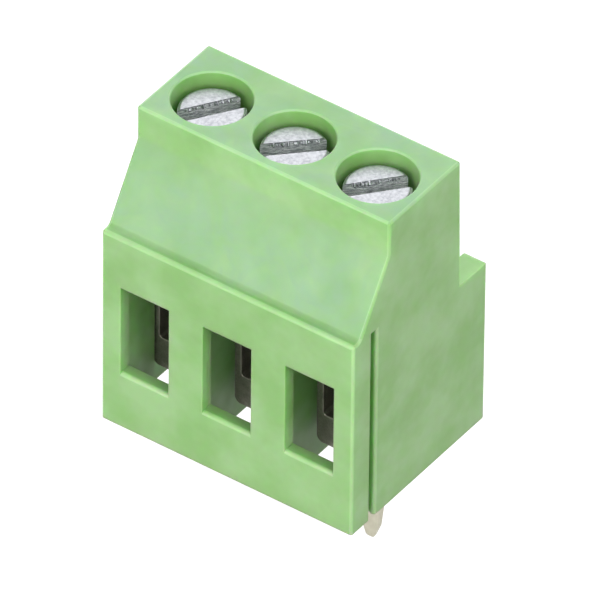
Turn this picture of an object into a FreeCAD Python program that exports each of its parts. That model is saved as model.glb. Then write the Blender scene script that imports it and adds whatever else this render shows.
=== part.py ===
import FreeCAD, Part
import math
import os

# Screw terminal for a printed circuit board, with rising clamp cages. Millimetres.
# The origin is where the middle solder pin's axis crosses the board.
# +X runs along the row of poles, +Y to the back, +Z up. Wires enter from the front.
Vector = FreeCAD.Vector

# Row of poles
POLES = 3
PITCH = 5.08
PARTITION = 0.44
END_WALL = 0.48

# Contact strip, folded from one flat blank
STRIP = 0.5
BEND_RADIUS = 0.3
FOOT_RISE = 1.0
FOOT_WIDTH = 2.2
FOOT_SHOULDER = 0.4
BAR_OVERHANG = 1.1
HEM_BACK = 0.1
LEG_GAP = 0.3
PIN_WIDTH = 1.0
PIN_LENGTH = 5.1
PIN_TAPER = 1.8
PIN_EDGE = 0.14
PIN_POINT = 0.8
PIN_END = 0.48
PIN_ROUND = 0.2
BARB_HEIGHT = 0.5
BARB_DEPTH = 0.06
BARB_PITCH = 1.5

# Clamp cage
CAGE_PLAY = 0.32
CAGE_END_PLAY = 0.185
CAGE_DEPTH = 4.4
CAGE_WALL = 0.42
CAGE_FLOOR = 1.9
CAGE_HEAD = 2.0
CAGE_CORNER = 0.42
CAGE_INNER_CORNER = 0.2
CAGE_EDGE = 0.04
WIRE_HEIGHT = 4.15
GRIP_GROOVES = 3
GRIP_WIDTH = 0.3
GRIP_DEPTH = 0.12

# Clamp screw
SHANK_RADIUS = 1.5
HEAD_RADIUS = 1.75
HEAD_HEIGHT = 1.5
HEAD_EDGE = 0.22
SLOT_WIDTH = 0.95
SLOT_DEPTH = 0.8
TIP_CHAMFER = 0.35
SLOT_ANGLES = [56.2, 44.6, 49.9]

# Clearances
CAGE_SEAT = 0.07
CLOSED_GAP = 0.03
BAR_OVER = 0.10
BAR_SIDE = 0.02
BAR_SEAT = 0.04
BAY_HEADROOM = 0.16
BAY_PLAY = 0.2
GROOVE_PLAY = 0.1
NOSE_PLAY = 0.05
THREAD_PLAY = 0.08
HEAD_SEAT = 0.05
HEAD_PLAY = 0.35
TIP_GAP = 0.08

# Housing, heights
NECK = 1.1
HEAD_RECESS = 0.65
PLATE_TOP = 12.25
LIP_HEIGHT = 2.1
REAR_LEDGE = 10.1
SILL_STEP = 0.02
WINDOW_OVER_BAR = 0.43
SIDE_SLOT_BELOW = 0.03

# Housing, front to back
SKIN = 0.74
FUNNEL_DEPTH = 2.51
LEDGE_DEPTH = 0.53
LIP_WALL = 0.6
REAR_WALL = 1.15
REAR_DRAFT = 0.2
REAR_RIB = 0.6
LUG_DEPTH = 2.25
PLATE_SIDE = 1.45
SIDE_SLOT_WIDTH = 0.45
SIDE_SLOT_UNDERCUT = 0.2
SIDE_SLOT_DEPTH = 0.5
SIDE_SLOT_WALL = 0.42

# Housing, widths and roundings
WINDOW_WIDTH = 3.0
LUG_GAP = 2.6
LUG_CORNER = 0.2
REAR_CORNER = 0.35
PLATE_EDGE = 0.2
LEDGE_FILLET = 0.35
REAR_EDGE = 0.35
SIDE_SLOT_LIP = 0.16
BODY_EDGE = 0.14
SILL_EDGE = 0.2
WELL_EDGE = 0.08
CORE_CORNER = 0.3

# Heights worked out from the stack of pieces, board upwards
foot_top = FOOT_RISE + STRIP
cage_bottom = foot_top + CAGE_SEAT
cage_floor_top = cage_bottom + CAGE_FLOOR
bar_bottom = cage_floor_top + WIRE_HEIGHT
bar_middle = bar_bottom + STRIP
bar_top = bar_middle + STRIP
cage_head_bottom = bar_top + BAR_OVER
cage_top = cage_head_bottom + CAGE_HEAD
travel = WIRE_HEIGHT - CLOSED_GAP
bay_top = cage_top + travel + BAY_HEADROOM
well_floor = bay_top + NECK
head_bottom = well_floor + HEAD_SEAT
head_top = head_bottom + HEAD_HEIGHT
housing_top = head_top + HEAD_RECESS
bar_seat_z = bar_top + BAR_SEAT
window_sill = cage_floor_top + SILL_STEP
window_top = bar_top + WINDOW_OVER_BAR

# Widths
cage_width = PITCH - PARTITION - 2 * CAGE_PLAY
cage_inner = cage_width - 2 * CAGE_WALL
bar_width = cage_inner - 2 * (CAGE_INNER_CORNER + BAR_SIDE)
groove_width = bar_width + 2 * GROOVE_PLAY
end_margin = cage_width / 2 + CAGE_END_PLAY + END_WALL
end_x = (POLES - 1) * PITCH / 2 + end_margin

# Places from front to back, with the screws and pins at Y 0
bay_half = CAGE_DEPTH / 2 + BAY_PLAY
plate_inner = -bay_half - FUNNEL_DEPTH
plate_front = plate_inner - SKIN
leg_front = CAGE_DEPTH / 2 + LEG_GAP
leg_back = leg_front + STRIP
groove_back = leg_back + GROOVE_PLAY
gap_front = groove_back + REAR_RIB
rear_face = gap_front + LUG_DEPTH
bar_nose = -CAGE_DEPTH / 2 - BAR_OVERHANG
guard_y = bar_nose - NOSE_PLAY
well_radius = HEAD_RADIUS + HEAD_PLAY
lip_y = -well_radius - LIP_WALL
lip_z = housing_top - LIP_HEIGHT
upper_back = bay_half + REAR_WALL

# How far a cutter runs past the face it opens, and the share of a half width that a full rounding takes
PAST = 1.0
ROUND_RATIO = 0.97


def pole_x(index):
    """Place along the row of a pole, counted from 0 at the left."""
    return (index - (POLES - 1) / 2) * PITCH


def on_yz(u, v):
    return Vector(0, u, v)


def on_xz(u, v):
    return Vector(u, 0, v)


def on_xy(u, v):
    return Vector(u, v, 0)


def outline(corners, place):
    """Closed flat face through (u, v, radius) corners, each rounded by its own radius."""
    count = len(corners)
    joints = []
    for index, (u, v, radius) in enumerate(corners):
        here = Vector(u, v, 0)
        last = corners[index - 1]
        following = corners[(index + 1) % count]
        back = (Vector(last[0], last[1], 0) - here).normalize()
        ahead = (Vector(following[0], following[1], 0) - here).normalize()
        if radius == 0:
            joints.append((here, None, here))
            continue
        half = back.getAngle(ahead) / 2
        reach = radius / math.tan(half)
        inward = (back + ahead).normalize()
        middle = here + inward * (radius / math.sin(half) - radius)
        joints.append((here + back * reach, middle, here + ahead * reach))
    edges = []
    for index, (first, middle, second) in enumerate(joints):
        if middle is not None:
            points = [place(point.x, point.y) for point in (first, middle, second)]
            edges.append(Part.Arc(*points).toShape())
        start = place(second.x, second.y)
        stop_corner = joints[(index + 1) % count][0]
        stop = place(stop_corner.x, stop_corner.y)
        if start.distanceToPoint(stop) > 1e-6:
            edges.append(Part.LineSegment(start, stop).toShape())
    return Part.Face(Part.Wire(edges))


def prism(corners, place, start, end):
    """Solid between two distances along the axis that the outline's plane leaves out."""
    face = outline(corners, place)
    axis = Vector(1, 1, 1) - place(1, 1)
    face.translate(axis * start)
    return face.extrude(axis * (end - start))


def block(x0, x1, y0, y1, z0, z1, radius=0):
    """Box with its upright edges rounded."""
    corners = [(x0, y0, radius), (x1, y0, radius), (x1, y1, radius), (x0, y1, radius)]
    return prism(corners, on_xy, z0, z1)


def edges_where(solid, test):
    """Edges whose two ends and middle all pass a test."""
    found = []
    for edge in solid.Edges:
        middle = edge.valueAt((edge.FirstParameter + edge.LastParameter) / 2)
        points = [vertex.Point for vertex in edge.Vertexes] + [middle]
        if all(test(point) for point in points):
            found.append(edge)
    return found


def near(a, b):
    return abs(a - b) < 1e-4


def bay_sides(index):
    """Left and right walls of a pole's bay: a partition, or an end wall of the row."""
    left = pole_x(index) - PITCH / 2 + PARTITION / 2
    right = pole_x(index) + PITCH / 2 - PARTITION / 2
    if index == 0:
        left = -end_x + END_WALL
    if index == POLES - 1:
        right = end_x - END_WALL
    return left, right


def funnel_sides(index):
    """Sides of the space in front of the bay, where the end walls are thicker beside the slots."""
    left, right = bay_sides(index)
    thick = SIDE_SLOT_DEPTH + SIDE_SLOT_WALL
    return max(left, -end_x + thick), min(right, end_x - thick)


def housing_body():
    """Outer form: the side outline run along the row, with its rear corners and outer edges rounded."""
    side = [
        (plate_front, 0, 0),
        (plate_front, PLATE_TOP, PLATE_EDGE),
        (plate_front + LEDGE_DEPTH, PLATE_TOP, LEDGE_FILLET),
        (lip_y, lip_z, 0),
        (lip_y, housing_top, 0),
        (upper_back - REAR_DRAFT, housing_top, 0),
        (upper_back, REAR_LEDGE, 0),
        (rear_face, REAR_LEDGE, REAR_EDGE),
        (rear_face, 0, 0),
    ]
    body = prism(side, on_yz, -end_x, end_x)
    plan = [
        (-end_x, plate_front, 0),
        (end_x, plate_front, 0),
        (end_x, rear_face, REAR_CORNER),
        (-end_x, rear_face, REAR_CORNER),
    ]
    body = body.common(prism(plan, on_xy, 0, housing_top))
    corner_start = rear_face - REAR_CORNER
    top = edges_where(body, lambda p: near(p.z, housing_top))
    ends = edges_where(body, lambda p: near(abs(p.x), end_x) and p.y < corner_start)
    ends = [edge for edge in ends if edge.BoundBox.ZMax > 0 and not any(edge.isSame(other) for other in top)]
    return body.makeFillet(BODY_EDGE, top + ends)


def side_slot(side):
    """Dovetail slot behind the front plate's edge, wider at its bottom, its rear lip rounded."""
    slot_front = plate_front + PLATE_SIDE
    slot_back = slot_front + SIDE_SLOT_WIDTH
    lip_end = slot_back + 2 * SIDE_SLOT_LIP
    deep = side * (end_x - SIDE_SLOT_DEPTH)
    face = side * end_x
    outside = side * (end_x + PAST)
    corners = [
        (outside, slot_front, 0),
        (face, slot_front, 0),
        (deep, slot_front - SIDE_SLOT_UNDERCUT, 0),
        (deep, slot_back + SIDE_SLOT_UNDERCUT, 0),
        (face, slot_back, SIDE_SLOT_LIP),
        (face, lip_end, 0),
        (outside, lip_end, 0),
    ]
    return prism(corners, on_xy, -PAST, PLATE_TOP - SIDE_SLOT_BELOW)


def pole_cores(index):
    """What is hollow in the housing at one pole."""
    x = pole_x(index)
    bay_left, bay_right = bay_sides(index)
    funnel_left, funnel_right = funnel_sides(index)
    roof = [
        (plate_inner, -PAST, 0),
        (plate_inner, window_top, 0),
        (guard_y, bar_bottom, 0),
        (guard_y, bar_seat_z, 0),
        (0, bar_seat_z, 0),
        (0, -PAST, 0),
    ]
    funnel = prism(roof, on_yz, funnel_left, funnel_right)
    cap_front = CORE_CORNER - bay_half
    front_cap = block(funnel_left - PAST, funnel_right + PAST, cap_front, PAST, -2 * PAST, housing_top)
    bay = block(bay_left, bay_right, -bay_half, bay_half, -PAST, bay_top, CORE_CORNER)
    groove = block(x - groove_width / 2, x + groove_width / 2, 0, groove_back, -PAST, bar_seat_z)
    neck = Part.makeCylinder(SHANK_RADIUS + THREAD_PLAY, NECK + 2 * PAST, Vector(x, 0, bay_top - PAST))
    well = Part.makeCylinder(well_radius, housing_top, Vector(x, 0, well_floor))
    return [funnel.cut(front_cap), bay, groove, neck, well]


def lug_gap(index):
    """Upright gap behind a pole, between the lugs that steady the block on the board."""
    x = pole_x(index)
    left = x - LUG_GAP / 2
    right = x + LUG_GAP / 2
    corners = [
        (left, gap_front, LUG_CORNER),
        (right, gap_front, LUG_CORNER),
        (right, rear_face, LUG_CORNER),
        (right + PAST, rear_face, 0),
        (right + PAST, rear_face + PAST, 0),
        (left - PAST, rear_face + PAST, 0),
        (left - PAST, rear_face, 0),
        (left, rear_face, LUG_CORNER),
    ]
    return prism(corners, on_xy, -PAST, REAR_LEDGE + PAST)


def window(index):
    x = pole_x(index)
    half = WINDOW_WIDTH / 2
    return block(x - half, x + half, plate_front - PAST, plate_inner + PAST, window_sill, window_top)


def housing():
    body = housing_body()
    for side in (-1, 1):
        body = body.cut(side_slot(side))
    for index in range(POLES):
        for core in pole_cores(index):
            body = body.cut(core)
        body = body.cut(lug_gap(index))
        body = body.cut(window(index))
    sills = edges_where(body, lambda p: near(p.y, plate_front) and near(p.z, window_sill))
    body = body.makeFillet(SILL_EDGE, sills)
    mouths = [edge for edge in body.Edges if near(edge.BoundBox.ZMin, housing_top)
              and near(edge.BoundBox.ZMax, housing_top) and near(edge.BoundBox.XLength, 2 * well_radius)]
    return body.makeChamfer(WELL_EDGE, mouths)


def clamp_screw(index):
    """Slotted screw: turned form with the slot cut across it at the angle it stands at."""
    tip = bar_top + TIP_GAP
    half = [
        (0, tip, 0),
        (SHANK_RADIUS - TIP_CHAMFER, tip, 0),
        (SHANK_RADIUS, tip + TIP_CHAMFER, 0),
        (SHANK_RADIUS, head_bottom, 0),
        (HEAD_RADIUS, head_bottom, 0),
        (HEAD_RADIUS, head_top, HEAD_EDGE),
        (0, head_top, 0),
    ]
    turned = outline(half, on_xz).revolve(Vector(0, 0, 0), Vector(0, 0, 1), 360)
    slot = block(-2 * HEAD_RADIUS, 2 * HEAD_RADIUS, -SLOT_WIDTH / 2, SLOT_WIDTH / 2,
                 head_top - SLOT_DEPTH, head_top + PAST)
    slot.rotate(Vector(0, 0, 0), Vector(0, 0, 1), SLOT_ANGLES[index % len(SLOT_ANGLES)])
    screw = Part.Solid(turned).cut(slot)
    screw.translate(Vector(pole_x(index), 0, 0))
    return screw


def clamp_cage(index):
    """Square tube lying front to back, with a thick floor and a threaded head."""
    half = cage_width / 2
    inner = cage_inner / 2
    outer_form = [
        (-half, cage_bottom, CAGE_CORNER),
        (half, cage_bottom, CAGE_CORNER),
        (half, cage_top, CAGE_CORNER),
        (-half, cage_top, CAGE_CORNER),
    ]
    opening = [
        (-inner, cage_floor_top, CAGE_INNER_CORNER),
        (inner, cage_floor_top, CAGE_INNER_CORNER),
        (inner, cage_head_bottom, CAGE_INNER_CORNER),
        (-inner, cage_head_bottom, CAGE_INNER_CORNER),
    ]
    cage = prism(outer_form, on_xz, -CAGE_DEPTH / 2, CAGE_DEPTH / 2)
    cage = cage.cut(prism(opening, on_xz, -CAGE_DEPTH / 2 - PAST, CAGE_DEPTH / 2 + PAST))
    ends = edges_where(cage, lambda p: near(abs(p.y), CAGE_DEPTH / 2))
    cage = cage.makeChamfer(CAGE_EDGE, ends)
    for groove in range(GRIP_GROOVES):
        y = (groove - (GRIP_GROOVES - 1) / 2) * CAGE_DEPTH / (GRIP_GROOVES + 1)
        cage = cage.cut(block(-inner + CAGE_INNER_CORNER, inner - CAGE_INNER_CORNER, y - GRIP_WIDTH / 2,
                              y + GRIP_WIDTH / 2, cage_floor_top - GRIP_DEPTH, cage_floor_top + GRIP_DEPTH))
    thread = Part.makeCylinder(SHANK_RADIUS + THREAD_PLAY, CAGE_HEAD + 2 * BAR_OVER,
                               Vector(0, 0, cage_head_bottom - BAR_OVER))
    cage = cage.cut(thread)
    cage.translate(Vector(pole_x(index), 0, 0))
    return cage


def strip_side():
    """Side outline of the folded strip: doubled bar, leg, foot and pin."""
    outer = BEND_RADIUS + STRIP
    half = STRIP / 2
    hem_end = CAGE_DEPTH / 2 - HEM_BACK
    return [
        (bar_nose, bar_bottom, ROUND_RATIO * STRIP),
        (hem_end, bar_bottom, 0),
        (hem_end, bar_middle, 0),
        (leg_front, bar_middle, BEND_RADIUS),
        (leg_front, foot_top, BEND_RADIUS),
        (-half, foot_top, outer),
        (-half, -PIN_LENGTH, 0),
        (-half + PIN_EDGE, -PIN_LENGTH, 0),
        (half, -PIN_LENGTH + PIN_TAPER, 0),
        (half, FOOT_RISE, BEND_RADIUS),
        (leg_back, FOOT_RISE, outer),
        (leg_back, bar_top, outer),
        (bar_nose, bar_top, ROUND_RATIO * STRIP),
    ]


def strip_front():
    """Front outline of the strip: full width above, then the foot, and the pointed pin."""
    bar = bar_width / 2
    foot = FOOT_WIDTH / 2
    pin = PIN_WIDTH / 2
    shoulder = FOOT_RISE - BEND_RADIUS
    leg_start = foot_top + BEND_RADIUS
    right = [
        (PIN_END / 2, -PIN_LENGTH, PIN_ROUND),
        (pin, -PIN_LENGTH + PIN_POINT, PIN_ROUND),
        (pin, shoulder, FOOT_SHOULDER / 2),
        (foot, shoulder, FOOT_SHOULDER / 2),
        (foot, leg_start, 0),
        (bar, leg_start + bar - foot, 0),
    ]
    for barb in (1, 2):
        z = leg_start + barb * BARB_PITCH
        right += [(bar, z, 0), (bar + BARB_DEPTH, z, 0), (bar, z + BARB_HEIGHT, 0)]
    right.append((bar, bar_top, 0))
    left = [(-u, v, radius) for u, v, radius in reversed(right)]
    return right + left


def contact(index):
    """Strip with its folds seen from the side and its widths seen from the front."""
    folded = prism(strip_side(), on_yz, -PITCH / 2, PITCH / 2)
    widths = prism(strip_front(), on_xz, bar_nose - PAST, leg_back + PAST)
    strip = folded.common(widths)
    strip.translate(Vector(pole_x(index), 0, 0))
    return strip


def save(shape, name):
    """Write one piece, which has to be a single closed solid."""
    solids = shape.Solids
    if len(solids) != 1 or not solids[0].isValid():
        raise ValueError(name + " is not one sound solid")
    solids[0].exportStep("parts/" + name + ".step")
    print(name, "volume", round(solids[0].Volume, 3))


os.makedirs("parts", exist_ok=True)
save(housing(), "housing")
for pole in range(POLES):
    number = str(pole + 1)
    save(clamp_screw(pole), "clamp_screw_" + number)
    save(clamp_cage(pole), "clamp_cage_" + number)
    save(contact(pole), "contact_" + number)
print("travel", round(travel, 3), "height", round(housing_top, 3), "length", round(2 * end_x, 3))
print("front", round(plate_front, 3), "back", round(rear_face, 3), "window", window_sill, window_top)
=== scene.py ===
import math

import bmesh
import bpy
from mathutils import Matrix, Vector


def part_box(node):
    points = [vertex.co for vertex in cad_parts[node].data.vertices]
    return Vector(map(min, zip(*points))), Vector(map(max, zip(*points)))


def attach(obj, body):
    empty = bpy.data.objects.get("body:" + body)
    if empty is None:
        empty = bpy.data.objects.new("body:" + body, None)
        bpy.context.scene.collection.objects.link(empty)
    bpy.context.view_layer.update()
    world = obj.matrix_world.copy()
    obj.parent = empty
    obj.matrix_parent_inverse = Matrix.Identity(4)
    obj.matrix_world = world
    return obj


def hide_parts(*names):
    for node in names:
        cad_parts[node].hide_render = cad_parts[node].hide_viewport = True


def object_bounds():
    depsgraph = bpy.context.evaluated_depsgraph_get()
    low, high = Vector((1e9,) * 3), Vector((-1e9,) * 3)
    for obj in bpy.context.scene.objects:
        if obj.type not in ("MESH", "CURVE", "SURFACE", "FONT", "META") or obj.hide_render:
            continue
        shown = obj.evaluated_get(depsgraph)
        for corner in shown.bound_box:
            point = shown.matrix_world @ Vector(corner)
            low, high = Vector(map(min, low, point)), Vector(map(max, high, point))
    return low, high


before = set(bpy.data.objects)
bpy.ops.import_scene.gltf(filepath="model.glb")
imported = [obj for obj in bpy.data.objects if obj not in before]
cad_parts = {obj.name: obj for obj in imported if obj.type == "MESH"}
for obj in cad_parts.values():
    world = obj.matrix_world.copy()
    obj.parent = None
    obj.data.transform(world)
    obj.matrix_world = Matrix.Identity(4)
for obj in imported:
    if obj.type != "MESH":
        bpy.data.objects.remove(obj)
cad_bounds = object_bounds()

# Sizes in millimetres, turned to metres by MM where they are used
MM = 0.001
POLES = ("1", "2", "3")

# Clamp screw: M3 with a slotted cheese head. Each slot stands at its own angle to the row, in degrees.
SCREW_HEAD_HEIGHT = 1.5
SCREW_HEAD_ROUNDING = 0.22
SCREW_NECK = 0.3
SCREW_SLOT_WIDTH = 0.95
SCREW_SLOT_DEPTH = 0.8
SCREW_SLOT_ANGLES = {"1": 56.2, "2": 44.6, "3": 49.9}
SCREW_TIP_CHAMFER = 0.35
SCREW_SIDES = 96
SCREW_ROUNDING_STEPS = 8

# Depths below a screw's face between which its plated look gives way to the milled one, which carries
# painted light
FACE_DEPTH = 0.03
MILLED_DEPTH = 0.09

# Threads. A three-sided section is 1.5 times as deep as the radius of the circle round it.
THREAD_PITCH = 0.5
THREAD_DEPTH = 0.3
THREAD_OUTER_RADIUS = 1.5
THREAD_STEPS = 32
TRIANGLE_DEPTH = 1.5

# Threaded head of the clamp cage. The middle of its ridge lies a little inside the bore's wall.
CAGE_HEAD_THICKNESS = 2.0
CAGE_BORE_RADIUS = 1.58
CAGE_THREAD_SIZE = 0.06
CAGE_THREAD_SINK = 0.02
CAGE_THREAD_END = 0.2

# Burr: beads along one wall of each slot, a little below its lip, over a share of the face's flat width
BURR_RADIUS = 0.11
BURR_DROP = 0.15
BURR_SHARE = 0.85
BURR_BEAD = 0.13
BURR_STEPS = 70
BURR_SIDES = 6

# Roundings that the tool, the punch and the tumbling barrel leave on edges
HOUSING_EDGE = 0.08
CAGE_EDGE = 0.03
CONTACT_EDGE = 0.04
EDGE_STEPS = 2

# A face counts as a rounding if it is narrower than this beside an outward turn of more than these degrees
ROUNDING_WIDTH = 0.14
ROUNDING_TURN = 6

# Reach that welds corners, and the angles in degrees for flat faces, rounded edges and smooth shading
WELD_REACH = 0.0005
FLAT_ANGLE = 0.3
SHARP_ANGLE = 35
SMOOTH_ANGLE = 30

# The painted sky reflection starts just under the top of the front plate and is whole a little higher
PAINTED_REFLECTION_FROM = 12.0
PAINTED_REFLECTION_FADE = 0.5

# Camera, fitted to the photograph: a very long lens, turned and raised round the block
CAMERA_AZIMUTH = 35.42
CAMERA_ELEVATION = 39.99
CAMERA_ROLL = 0.63
CAMERA_DISTANCE = 900
CAMERA_NEAR = 450
CAMERA_FAR = 2700
PIXELS_PER_MM = 19.965
PICTURE = 600
LOOKED_AT = (-0.145, -0.65, 7.0)
LOOKED_AT_PIXEL = (283.03, 316.61)
SENSOR = 36

# Studio: a dim room, a white table lit from within and soft lights around, each with its direction,
# size and energy
ROOM_STRENGTH = 0.12
TABLE_GLOW = 0.93
TABLE_HALF = 600
LIGHT_DISTANCE = 500
SOFT_LIGHTS = {
    "front_light": ((0.35, -0.8, 0.5), 300, 0.75),
    "low_front_light": ((-0.1, -1.0, 0.12), 400, 2.3),
    "low_left_light": ((-0.444, -0.857, 0.265), 350, 0.3),
    "rear_light": ((-0.444, 0.624, 0.643), 750, 3.9),
    "right_light": ((1.0, -0.2, 0.15), 400, 1.0),
    "high_right_light": ((1.0, -0.4, 0.9), 300, 1.1),
}


def linear(colour):
    """Linear RGBA of an sRGB hex colour."""
    values = [int(colour[i:i + 2], 16) / 255 for i in (1, 3, 5)]
    return [v / 12.92 if v <= 0.04045 else ((v + 0.055) / 1.055) ** 2.4 for v in values] + [1.0]


def spanning(size):
    """Scale of a noise whose clouds are about this many millimetres across."""
    return 1 / (size * MM)


def add(tree, kind, sockets=None, **fields):
    """Adds a node. Each field is a setting. Each socket gets a value, an output, or a node, which
    stands for its first output."""
    node = tree.nodes.new(kind)
    for field, value in fields.items():
        setattr(node, field, value)
    for name, value in (sockets or {}).items():
        if isinstance(value, bpy.types.Node):
            value = value.outputs[0]
        if isinstance(value, bpy.types.NodeSocket):
            tree.links.new(value, node.inputs[name])
        else:
            node.inputs[name].default_value = value
    return node


def calculate(tree, operation, first, second):
    """Result of one sum on two numbers."""
    return add(tree, "ShaderNodeMath", {0: first, 1: second}, operation=operation).outputs[0]


# Materials

def new_material(name):
    """Material with an empty tree."""
    material = bpy.data.materials.new(name)
    material.use_nodes = True
    material.node_tree.nodes.clear()
    return material


def moulded_polyamide():
    """Green polyamide 66, injection moulded against a fine eroded tool: an even satin skin over a
    slightly see-through body, so hollows glow a deeper green, with faint flow clouds and sink marks.
    Painted light: paler rims as a painted highlight on the rounded edges, and a painted cool reflection
    of the sky in smears on the upper faces that face up. The tool's grain is drawn at 0.1 mm,
    coarser than the real one, so that it shows."""
    material = new_material("moulded_polyamide_green")
    tree = material.node_tree
    coordinates = add(tree, "ShaderNodeTexCoord").outputs
    place = coordinates["Object"]
    flow = add(tree, "ShaderNodeTexNoise", {
        "Vector": place, "Scale": spanning(3.5), "Detail": 3, "Roughness": 0.55})
    clouds = add(tree, "ShaderNodeMapRange", {0: flow, 1: 0.38, 2: 0.62})
    body = add(tree, "ShaderNodeMix", {0: clouds, 6: linear("#7FAE63"), 7: linear("#91BA7B")},
               data_type="RGBA")

    # Painted reflection: upper faces that face up get a cool pale tint in smears, standing in for the sky
    # mirrored in them
    upward = add(tree, "ShaderNodeSeparateXYZ", {0: coordinates["Normal"]}).outputs["Z"]
    facing_up = add(tree, "ShaderNodeMapRange", {0: upward, 1: 0.3, 2: 0.45})
    height = add(tree, "ShaderNodeSeparateXYZ", {0: place}).outputs["Z"]
    upper = add(tree, "ShaderNodeMapRange", {
        0: height, 1: PAINTED_REFLECTION_FROM * MM, 2: (PAINTED_REFLECTION_FROM + PAINTED_REFLECTION_FADE) * MM})
    smears = add(tree, "ShaderNodeTexNoise", {
        "Vector": place, "Scale": spanning(2.6), "Detail": 5, "Roughness": 0.6, "Distortion": 0.8})
    reflection_patches = add(tree, "ShaderNodeMapRange", {0: smears, 1: 0.38, 2: 0.66, 3: 0.25, 4: 0.9})
    sky_facing_upper = calculate(tree, "MULTIPLY", facing_up, upper)
    painted_sky_reflection = calculate(tree, "MULTIPLY", sky_facing_upper, reflection_patches)
    skin = add(tree, "ShaderNodeMix", {0: painted_sky_reflection, 6: body.outputs[2], 7: linear("#82A984")},
               data_type="RGBA")

    # Painted highlight: faces marked as roundings are mixed towards a pale green, standing in for light
    # caught on rounded edges
    edge = add(tree, "ShaderNodeAttribute", attribute_name="rounding")
    painted_edge_highlight = calculate(tree, "MULTIPLY", edge.outputs["Fac"], 0.2)
    colour = add(tree, "ShaderNodeMix", {0: painted_edge_highlight, 6: skin.outputs[2], 7: linear("#CBE6BB")},
                 data_type="RGBA")

    gloss = add(tree, "ShaderNodeTexNoise", {"Vector": place, "Scale": spanning(1.1), "Detail": 3})
    satin = add(tree, "ShaderNodeMapRange", {0: gloss, 1: 0.3, 2: 0.7, 3: 0.38, 4: 0.58})
    sink = add(tree, "ShaderNodeTexNoise", {"Vector": place, "Scale": spanning(2.2), "Detail": 2})
    wavy = add(tree, "ShaderNodeBump", {"Height": sink, "Distance": 0.05 * MM, "Strength": 0.6})
    grain = add(tree, "ShaderNodeTexNoise", {"Vector": place, "Scale": spanning(0.1), "Detail": 2})
    eroded = add(tree, "ShaderNodeBump", {
        "Height": grain, "Distance": 0.004 * MM, "Strength": 0.4, "Normal": wavy})
    plastic = add(tree, "ShaderNodeBsdfPrincipled", {
        "Base Color": colour.outputs[2],
        "Roughness": satin,
        "IOR": 1.53,
        "Specular IOR Level": 0.55,
        "Subsurface Weight": 0.6,
        "Subsurface Radius": (0.3, 1.0, 0.15),
        "Subsurface Scale": 1.5 * MM,
        "Normal": eroded,
    })
    add(tree, "ShaderNodeOutputMaterial", {"Surface": plastic})
    return material


def zinc_plated_steel(name, head_top):
    """Zinc-plated steel, cold headed with a milled slot: a bright, slightly grainy face, and below it
    the slot's rough walls, streaked with the scores that the cutter left. The walls' colour also holds
    painted light: a base lighter than the real walls, painted against the shade in the narrow slot, and
    near-white streaks as painted highlights. The plating's crystals are drawn at 0.16 mm, coarser than
    the real ones, so that they show."""
    material = new_material(name)
    tree = material.node_tree
    place = add(tree, "ShaderNodeTexCoord").outputs["Object"]
    height = add(tree, "ShaderNodeSeparateXYZ", {0: place}).outputs["Z"]
    below = add(tree, "ShaderNodeMapRange", {
        0: height, 1: head_top - FACE_DEPTH * MM, 2: head_top - MILLED_DEPTH * MM})

    crystals = add(tree, "ShaderNodeTexNoise", {
        "Vector": place, "Scale": spanning(0.16), "Detail": 4, "Roughness": 0.65})
    specks = add(tree, "ShaderNodeMapRange", {0: crystals, 1: 0.35, 2: 0.65})
    face = add(tree, "ShaderNodeMix", {0: specks, 6: linear("#B0B1B6"), 7: linear("#93959A")},
               data_type="RGBA")
    face_gloss = add(tree, "ShaderNodeMapRange", {0: crystals, 3: 0.3, 4: 0.5})
    pitted = add(tree, "ShaderNodeBump", {"Height": crystals, "Distance": 0.01 * MM, "Strength": 0.35})

    flattened = add(tree, "ShaderNodeMapping", {"Vector": place, "Scale": (1, 1, 9)})
    scores = add(tree, "ShaderNodeTexNoise", {
        "Vector": flattened, "Scale": spanning(0.4), "Detail": 5, "Roughness": 0.7})
    # Painted light: the cutter's scores also set near-white painted highlight streaks on a base lightened
    # against the slot's shade
    scores_and_highlights = add(tree, "ShaderNodeMapRange", {0: scores, 1: 0.4, 2: 0.62})
    milled_and_painted_light = add(tree, "ShaderNodeMix", {0: scores_and_highlights, 6: linear("#9BA1A5"), 7: linear("#FAFBFB")},
                 data_type="RGBA")
    scored = add(tree, "ShaderNodeBump", {
        "Height": scores, "Distance": 0.12 * MM, "Strength": below, "Normal": pitted})

    colour = add(tree, "ShaderNodeMix", {0: below, 6: face.outputs[2], 7: milled_and_painted_light.outputs[2]},
                 data_type="RGBA")
    gloss = add(tree, "ShaderNodeMix", {0: below, 2: face_gloss, 3: 0.75})
    metal = add(tree, "ShaderNodeBsdfPrincipled", {
        "Base Color": colour.outputs[2], "Metallic": 1.0, "Roughness": gloss, "Normal": scored})
    add(tree, "ShaderNodeOutputMaterial", {"Surface": metal})
    return material


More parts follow.
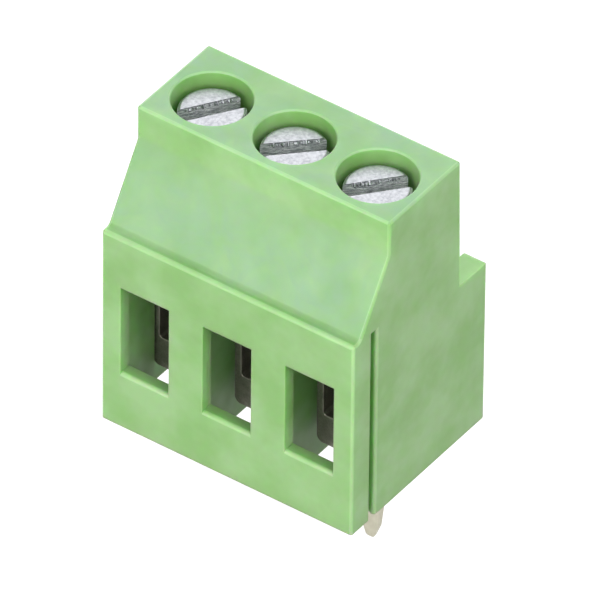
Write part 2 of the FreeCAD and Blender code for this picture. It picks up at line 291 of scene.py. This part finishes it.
def nickel_plated_steel():
    """Nickel-plated steel strip, bent to a cage and barrel plated: a dull warm grey with faint stains
    and fine scuffs, which are drawn at 0.12 mm so that they show."""
    material = new_material("nickel_plated_steel")
    tree = material.node_tree
    place = add(tree, "ShaderNodeTexCoord").outputs["Object"]
    stains = add(tree, "ShaderNodeTexNoise", {"Vector": place, "Scale": spanning(0.7), "Detail": 5})
    colour = add(tree, "ShaderNodeMix", {0: stains, 6: linear("#A19E92"), 7: linear("#67645A")},
                 data_type="RGBA")
    scuffs = add(tree, "ShaderNodeTexNoise", {
        "Vector": place, "Scale": spanning(0.12), "Detail": 4, "Roughness": 0.7})
    gloss = add(tree, "ShaderNodeMapRange", {0: scuffs, 1: 0.3, 2: 0.7, 3: 0.35, 4: 0.75})
    scuffed = add(tree, "ShaderNodeBump", {"Height": scuffs, "Distance": 0.02 * MM, "Strength": 0.5})
    metal = add(tree, "ShaderNodeBsdfPrincipled", {
        "Base Color": colour.outputs[2], "Metallic": 1.0, "Roughness": gloss, "Normal": scuffed})
    add(tree, "ShaderNodeOutputMaterial", {"Surface": metal})
    return material


def tin_plated_bronze():
    """Tin-plated bronze strip, punched and folded: a matt, warm light grey, with fine upright drawn
    lines, 0.1 mm wide and 1.2 mm long."""
    material = new_material("tin_plated_bronze")
    tree = material.node_tree
    place = add(tree, "ShaderNodeTexCoord").outputs["Object"]
    clouds = add(tree, "ShaderNodeTexNoise", {"Vector": place, "Scale": spanning(0.5), "Detail": 4})
    colour = add(tree, "ShaderNodeMix", {0: clouds, 6: linear("#C9C6B5"), 7: linear("#A5A18D")},
                 data_type="RGBA")
    narrowed = add(tree, "ShaderNodeMapping", {"Vector": place, "Scale": (12, 12, 1)})
    lines = add(tree, "ShaderNodeTexNoise", {"Vector": narrowed, "Scale": spanning(1.2), "Detail": 3})
    gloss = add(tree, "ShaderNodeMapRange", {0: lines, 3: 0.36, 4: 0.56})
    drawn = add(tree, "ShaderNodeBump", {"Height": lines, "Distance": 0.01 * MM, "Strength": 0.4})
    metal = add(tree, "ShaderNodeBsdfPrincipled", {
        "Base Color": colour.outputs[2], "Metallic": 1.0, "Roughness": gloss, "Normal": drawn})
    add(tree, "ShaderNodeOutputMaterial", {"Surface": metal})
    return material


def opal_acrylic():
    """White opal acrylic of the light table, cast and matt: an even glow without texture."""
    material = new_material("opal_acrylic_table")
    tree = material.node_tree
    sheet = add(tree, "ShaderNodeBsdfPrincipled", {
        "Base Color": linear("#7C7C7C"), "Roughness": 0.9, "Emission Color": linear("#FFFFFF"),
        "Emission Strength": TABLE_GLOW})
    add(tree, "ShaderNodeOutputMaterial", {"Surface": sheet})
    return material


# Plain mesh pieces, made from the frame's own solids or by Geometry Nodes

def settle(maker, name):
    """Plain mesh piece from an object with modifiers, which goes."""
    evaluated = maker.evaluated_get(bpy.context.evaluated_depsgraph_get())
    piece = bpy.data.objects.new(name, bpy.data.meshes.new_from_object(evaluated))
    bpy.data.objects.remove(maker)
    bpy.context.scene.collection.objects.link(piece)
    return piece


def mark_roundings(work):
    """Gives each narrow face with an outward turn along a long side the value 1 in the face attribute
    rounding."""
    rounding = work.faces.layers.float.new("rounding")
    for face in work.faces:
        sides = sorted(face.edges, key=lambda e: -e.calc_length())[:2]
        width = face.calc_area() / sides[0].calc_length()
        turned = [e for e in sides if len(e.link_faces) == 2 and e.is_convex
                  and e.calc_face_angle() > math.radians(ROUNDING_TURN)]
        face[rounding] = float(width < ROUNDING_WIDTH * MM and len(turned) > 0)


def finished_copy(node, name, edge, material):
    """Copy of a CAD node as one skin, with its sharp outer edges rounded and its curves shaded smooth."""
    work = bmesh.new()
    work.from_mesh(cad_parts[node].data)
    bmesh.ops.remove_doubles(work, verts=work.verts, dist=WELD_REACH * MM)
    bmesh.ops.dissolve_limit(work, angle_limit=math.radians(FLAT_ANGLE), verts=work.verts,
                             edges=work.edges)
    sharp = [e for e in work.edges if len(e.link_faces) == 2 and e.is_convex
             and e.calc_face_angle() > math.radians(SHARP_ANGLE)]
    bmesh.ops.bevel(work, geom=sharp, offset=edge * MM, offset_type="OFFSET", segments=EDGE_STEPS,
                    profile=0.5, affect="EDGES", clamp_overlap=True)
    mark_roundings(work)
    bmesh.ops.triangulate(work, faces=[f for f in work.faces if len(f.verts) > 4])
    mesh = bpy.data.meshes.new(name)
    work.to_mesh(mesh)
    work.free()
    mesh.materials.append(material)
    mesh.shade_smooth()
    mesh.set_sharp_from_angle(angle=math.radians(SMOOTH_ANGLE))
    maker = bpy.data.objects.new(name + "_maker", mesh)
    bpy.context.scene.collection.objects.link(maker)
    maker.modifiers.new("face_weights", "WEIGHTED_NORMAL").keep_sharp = True
    return settle(maker, name)


def grow(tree, name, **values):
    """Plain mesh piece made by a tree with these input values."""
    maker = bpy.data.objects.new(name + "_maker", bpy.data.meshes.new(name + "_maker"))
    bpy.context.scene.collection.objects.link(maker)
    modifier = maker.modifiers.new(name, "NODES")
    modifier.node_group = tree
    for item in tree.interface.items_tree:
        if item.in_out == "INPUT":
            modifier[item.identifier] = values[item.name]
    piece = settle(maker, name)
    piece.data.shade_smooth()
    piece.data.set_sharp_from_angle(angle=math.radians(SMOOTH_ANGLE))
    return piece


# Geometry Nodes trees

def new_tree(name, **kinds):
    """Geometry Nodes tree with a named input for each size, and the outputs that give them."""
    tree = bpy.data.node_groups.new(name, "GeometryNodeTree")
    for label, kind in kinds.items():
        tree.interface.new_socket(name=label, in_out="INPUT", socket_type="NodeSocket" + kind)
    tree.interface.new_socket(name="Geometry", in_out="OUTPUT", socket_type="NodeSocketGeometry")
    return tree, add(tree, "NodeGroupInput").outputs


def finish_tree(tree, geometry, material):
    """Ends a tree with real geometry in one material."""
    real = add(tree, "GeometryNodeRealizeInstances", {"Geometry": geometry})
    dressed = add(tree, "GeometryNodeSetMaterial", {"Geometry": real, "Material": material})
    add(tree, "NodeGroupOutput", {"Geometry": dressed})


def screw_tree():
    """Turned screw: a half section revolved round the axis, less the slot across its head."""
    tree, given = new_tree("slotted_screw", head_top="Float", head_radius="Float", head_height="Float",
                           head_rounding="Float", core_radius="Float", tip="Float", tip_chamfer="Float",
                           slot_width="Float", slot_depth="Float", slot_angle="Float", axis_x="Float",
                           material="Material")
    head_bottom = calculate(tree, "SUBTRACT", given["head_top"], given["head_height"])
    chamfer_start = calculate(tree, "ADD", given["tip"], given["tip_chamfer"])
    tip_radius = calculate(tree, "SUBTRACT", given["core_radius"], given["tip_chamfer"])
    section = [
        (0.0, given["head_top"]),
        (given["head_radius"], given["head_top"]),
        (given["head_radius"], head_bottom),
        (given["core_radius"], head_bottom),
        (given["core_radius"], chamfer_start),
        (tip_radius, given["tip"]),
        (0.0, given["tip"]),
    ]
    index = add(tree, "GeometryNodeInputIndex").outputs[0]
    corner = add(tree, "GeometryNodeIndexSwitch", {"Index": index}, data_type="VECTOR")
    while len(corner.index_switch_items) < len(section):
        corner.index_switch_items.new()
    for number, (radius, height) in enumerate(section):
        down = calculate(tree, "MULTIPLY", height, -1.0)
        point = add(tree, "ShaderNodeCombineXYZ", {"X": radius, "Y": down})
        tree.links.new(point.outputs[0], corner.inputs[str(number)])
    line = add(tree, "GeometryNodeMeshLine", {"Count": len(section)})
    placed = add(tree, "GeometryNodeSetPosition", {"Geometry": line, "Position": corner})
    profile = add(tree, "GeometryNodeMeshToCurve", {"Mesh": placed})
    at_rim = calculate(tree, "COMPARE", index, 1.0)
    rounding = calculate(tree, "MULTIPLY", at_rim, given["head_rounding"])
    rounded = add(tree, "GeometryNodeFilletCurve", {
        "Curve": profile, "Count": SCREW_ROUNDING_STEPS, "Radius": rounding}, mode="POLY")

    # The rail is a circle of almost no size, so that the section turns round the axis
    rail = add(tree, "GeometryNodeCurvePrimitiveCircle", {"Resolution": SCREW_SIDES, "Radius": 1e-7})
    revolved = add(tree, "GeometryNodeCurveToMesh", {"Curve": rail, "Profile Curve": rounded})
    closed = add(tree, "GeometryNodeMergeByDistance", {"Geometry": revolved, "Distance": 1e-6})

    # The cutter is longer than the head is wide, and its middle lies level with the head's top
    across = calculate(tree, "MULTIPLY", given["head_radius"], 3.0)
    twice_deep = calculate(tree, "MULTIPLY", given["slot_depth"], 2.0)
    cutter_size = add(tree, "ShaderNodeCombineXYZ", {
        "X": across, "Y": given["slot_width"], "Z": twice_deep})
    cutter = add(tree, "GeometryNodeMeshCube", {"Size": cutter_size})
    at_top = add(tree, "ShaderNodeCombineXYZ", {"Z": given["head_top"]})
    turn = add(tree, "ShaderNodeCombineXYZ", {"Z": given["slot_angle"]})
    slot = add(tree, "GeometryNodeTransform", {
        "Geometry": cutter, "Translation": at_top, "Rotation": turn})
    slotted = add(tree, "GeometryNodeMeshBoolean", {"Mesh 1": closed, "Mesh 2": slot},
                  operation="DIFFERENCE", solver="EXACT")
    axis = add(tree, "ShaderNodeCombineXYZ", {"X": given["axis_x"]})
    stood = add(tree, "GeometryNodeTransform", {"Geometry": slotted, "Translation": axis})
    finish_tree(tree, stood, given["material"])
    return tree


def thread_tree():
    """Right-hand thread ridge: a three-sided section carried along a helix."""
    tree, given = new_tree("thread_ridge", radius="Float", bottom="Float", top="Float", pitch="Float",
                           depth="Float", facing="Float", axis_x="Float", material="Material")
    height = calculate(tree, "SUBTRACT", given["top"], given["bottom"])
    turns = calculate(tree, "DIVIDE", height, given["pitch"])
    helix = add(tree, "GeometryNodeCurveSpiral", {
        "Resolution": THREAD_STEPS, "Rotations": turns, "Start Radius": given["radius"],
        "End Radius": given["radius"], "Height": height, "Reverse": True})
    upright = add(tree, "GeometryNodeSetCurveNormal", {"Curve": helix}, mode="Z_UP")
    section = add(tree, "GeometryNodeCurvePrimitiveCircle", {"Resolution": 3, "Radius": given["depth"]})
    turn = add(tree, "ShaderNodeCombineXYZ", {"Z": given["facing"]})
    faced = add(tree, "GeometryNodeTransform", {"Geometry": section, "Rotation": turn})
    ridge = add(tree, "GeometryNodeCurveToMesh", {
        "Curve": upright, "Profile Curve": faced, "Fill Caps": True})
    lift = add(tree, "ShaderNodeCombineXYZ", {"X": given["axis_x"], "Z": given["bottom"]})
    stood = add(tree, "GeometryNodeTransform", {"Geometry": ridge, "Translation": lift})
    finish_tree(tree, stood, given["material"])
    return tree


def burr_tree():
    """Beaded burr that the cutter rolled up along one wall of a screw's slot."""
    tree, given = new_tree("slot_burr", length="Float", radius="Float", aside="Float", height="Float",
                           slot_angle="Float", axis_x="Float", seed="Float", material="Material")
    half = calculate(tree, "MULTIPLY", given["length"], 0.5)
    back = calculate(tree, "MULTIPLY", half, -1.0)
    start = add(tree, "ShaderNodeCombineXYZ", {"X": back, "Y": given["aside"]})
    end = add(tree, "ShaderNodeCombineXYZ", {"X": half, "Y": given["aside"]})
    line = add(tree, "GeometryNodeCurvePrimitiveLine", {"Start": start, "End": end})
    beads = add(tree, "GeometryNodeResampleCurve", {"Curve": line, "Count": BURR_STEPS})
    noise = add(tree, "ShaderNodeTexNoise", {
        "W": given["seed"], "Scale": spanning(BURR_BEAD), "Detail": 2}, noise_dimensions="4D")
    swell = add(tree, "ShaderNodeMapRange", {0: noise, 1: 0.42, 2: 0.62, 3: 0.1, 4: 1.5})
    thick = calculate(tree, "MULTIPLY", swell, given["radius"])
    section = add(tree, "GeometryNodeCurvePrimitiveCircle", {"Resolution": BURR_SIDES, "Radius": 1.0})
    rolled = add(tree, "GeometryNodeCurveToMesh", {
        "Curve": beads, "Profile Curve": section, "Scale": thick, "Fill Caps": True})
    at_wall = add(tree, "ShaderNodeCombineXYZ", {"X": given["axis_x"], "Z": given["height"]})
    turn = add(tree, "ShaderNodeCombineXYZ", {"Z": given["slot_angle"]})
    laid = add(tree, "GeometryNodeTransform", {
        "Geometry": rolled, "Translation": at_wall, "Rotation": turn})
    finish_tree(tree, laid, given["material"])
    return tree


# Stage

def add_camera():
    """Camera at the photograph's viewing angle, shifted so that a known point falls on its pixel."""
    azimuth, elevation = math.radians(CAMERA_AZIMUTH), math.radians(CAMERA_ELEVATION)
    back = Vector((math.sin(azimuth) * math.cos(elevation), -math.cos(azimuth) * math.cos(elevation),
                   math.sin(elevation)))
    right = back.cross(Vector((0, 0, -1))).normalized()
    up = back.cross(right)
    roll = math.radians(CAMERA_ROLL)
    right, up = math.cos(roll) * right + math.sin(roll) * up, math.cos(roll) * up - math.sin(roll) * right
    aside = (PICTURE / 2 - LOOKED_AT_PIXEL[0]) / PIXELS_PER_MM
    above = (LOOKED_AT_PIXEL[1] - PICTURE / 2) / PIXELS_PER_MM
    data = bpy.data.cameras.new("camera")
    data.sensor_width = SENSOR
    data.lens = SENSOR * CAMERA_DISTANCE * PIXELS_PER_MM / PICTURE
    data.clip_start = CAMERA_NEAR * MM
    data.clip_end = CAMERA_FAR * MM
    camera = bpy.data.objects.new("camera", data)
    camera.matrix_world = Matrix.Translation(
        (Vector(LOOKED_AT) + back * CAMERA_DISTANCE + right * aside + up * above) * MM
    ) @ Matrix((right, up, back)).transposed().to_4x4()
    bpy.context.scene.collection.objects.link(camera)
    bpy.context.scene.camera = camera


def add_light(name, direction, size, energy):
    """Square soft light at the common distance, turned to the origin."""
    data = bpy.data.lights.new(name, "AREA")
    data.size = size * MM
    data.energy = energy
    light = bpy.data.objects.new(name, data)
    towards = Vector(direction).normalized()
    place = Matrix.Translation(towards * LIGHT_DISTANCE * MM)
    light.matrix_world = place @ towards.to_track_quat("Z", "Y").to_matrix().to_4x4()
    bpy.context.scene.collection.objects.link(light)


def add_table():
    """White table lit from within, level with the tips of the pins. It shows and mirrors, but casts no
    light up into the object's shadows."""
    lowest = cad_bounds[0].z
    half = TABLE_HALF * MM
    corners = [(-half, -half, lowest), (half, -half, lowest), (half, half, lowest), (-half, half, lowest)]
    mesh = bpy.data.meshes.new("table")
    mesh.from_pydata(corners, [], [(0, 1, 2, 3)])
    mesh.materials.append(opal_acrylic())
    table = bpy.data.objects.new("table", mesh)
    table.visible_diffuse = False
    bpy.context.scene.collection.objects.link(table)


def add_room():
    """Dim white room, shown as it is, without a film look."""
    world = bpy.data.worlds.new("studio")
    world.use_nodes = True
    tree = world.node_tree
    tree.nodes.clear()
    room = add(tree, "ShaderNodeBackground", {"Color": (1, 1, 1, 1), "Strength": ROOM_STRENGTH})
    add(tree, "ShaderNodeOutputWorld", {"Surface": room})
    bpy.context.scene.world = world
    bpy.context.scene.view_settings.view_transform = "Standard"


# Materials and trees in use. The burr has the look of the head's face all over.
screw_low, screw_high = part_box("clamp_screw_1")
head_radius = (screw_high.x - screw_low.x) / 2
cage_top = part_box("clamp_cage_1")[1].z
housing_green = moulded_polyamide()
screw_zinc = zinc_plated_steel("zinc_plated_steel", screw_high.z)
burr_zinc = zinc_plated_steel("zinc_plated_steel_burr", screw_high.z - SCREW_HEAD_HEIGHT * MM)
cage_nickel = nickel_plated_steel()
contact_tin = tin_plated_bronze()
slotted_screw = screw_tree()
thread_ridge = thread_tree()
slot_burr = burr_tree()


# Pieces of the block

def dress_housing():
    """Moulded housing."""
    housing = finished_copy("housing", "housing_shell", HOUSING_EDGE, housing_green)
    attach(housing, "block")
    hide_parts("housing")


def dress_screw(pole, axis_x, tip, head_top):
    """Clamp screw with its thread ridge and the burr in its slot."""
    slot_angle = math.radians(SCREW_SLOT_ANGLES[pole])
    screw = grow(
        slotted_screw, "slotted_screw_" + pole, head_top=head_top, head_radius=head_radius,
        head_height=SCREW_HEAD_HEIGHT * MM, head_rounding=SCREW_HEAD_ROUNDING * MM,
        core_radius=(THREAD_OUTER_RADIUS - THREAD_DEPTH) * MM, tip=tip,
        tip_chamfer=SCREW_TIP_CHAMFER * MM, slot_width=SCREW_SLOT_WIDTH * MM,
        slot_depth=SCREW_SLOT_DEPTH * MM, slot_angle=slot_angle, axis_x=axis_x, material=screw_zinc)
    ridge_size = THREAD_DEPTH / TRIANGLE_DEPTH
    screw_thread = grow(
        thread_ridge, "screw_thread_" + pole, radius=(THREAD_OUTER_RADIUS - ridge_size) * MM,
        bottom=tip + SCREW_TIP_CHAMFER * MM, top=head_top - (SCREW_HEAD_HEIGHT + SCREW_NECK) * MM,
        pitch=THREAD_PITCH * MM, depth=ridge_size * MM, facing=0.0, axis_x=axis_x, material=screw_zinc)
    burr = grow(
        slot_burr, "slot_burr_" + pole,
        length=2 * BURR_SHARE * (head_radius - SCREW_HEAD_ROUNDING * MM), radius=BURR_RADIUS * MM,
        aside=SCREW_SLOT_WIDTH / 2 * MM, height=head_top - BURR_DROP * MM, slot_angle=slot_angle,
        axis_x=axis_x, seed=float(pole), material=burr_zinc)
    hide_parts("clamp_screw_" + pole)
    for piece in (screw, screw_thread, burr):
        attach(piece, "screw_" + pole)


def dress_cage(pole, axis_x):
    """Clamp cage with the thread ridge in its bore, which faces inwards."""
    cage = finished_copy("clamp_cage_" + pole, "cage_" + pole, CAGE_EDGE, cage_nickel)
    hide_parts("clamp_cage_" + pole)
    cage_thread = grow(
        thread_ridge, "cage_thread_" + pole, radius=(CAGE_BORE_RADIUS + CAGE_THREAD_SINK) * MM,
        bottom=cage_top - (CAGE_HEAD_THICKNESS - CAGE_THREAD_END) * MM,
        top=cage_top - CAGE_THREAD_END * MM, pitch=THREAD_PITCH * MM, depth=CAGE_THREAD_SIZE * MM,
        facing=math.pi, axis_x=axis_x, material=cage_nickel)
    for piece in (cage, cage_thread):
        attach(piece, "cage_" + pole)


def dress_contact(pole):
    """Contact strip."""
    strip = finished_copy("contact_" + pole, "strip_" + pole, CONTACT_EDGE, contact_tin)
    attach(strip, "block")
    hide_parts("contact_" + pole)


add_camera()
dress_housing()
for pole in POLES:
    low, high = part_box("clamp_screw_" + pole)
    axis_x = (low.x + high.x) / 2
    dress_screw(pole, axis_x, low.z, high.z)
    dress_cage(pole, axis_x)
    dress_contact(pole)
add_table()
add_room()
for name, (direction, size, energy) in SOFT_LIGHTS.items():
    add_light(name, direction, size, energy)
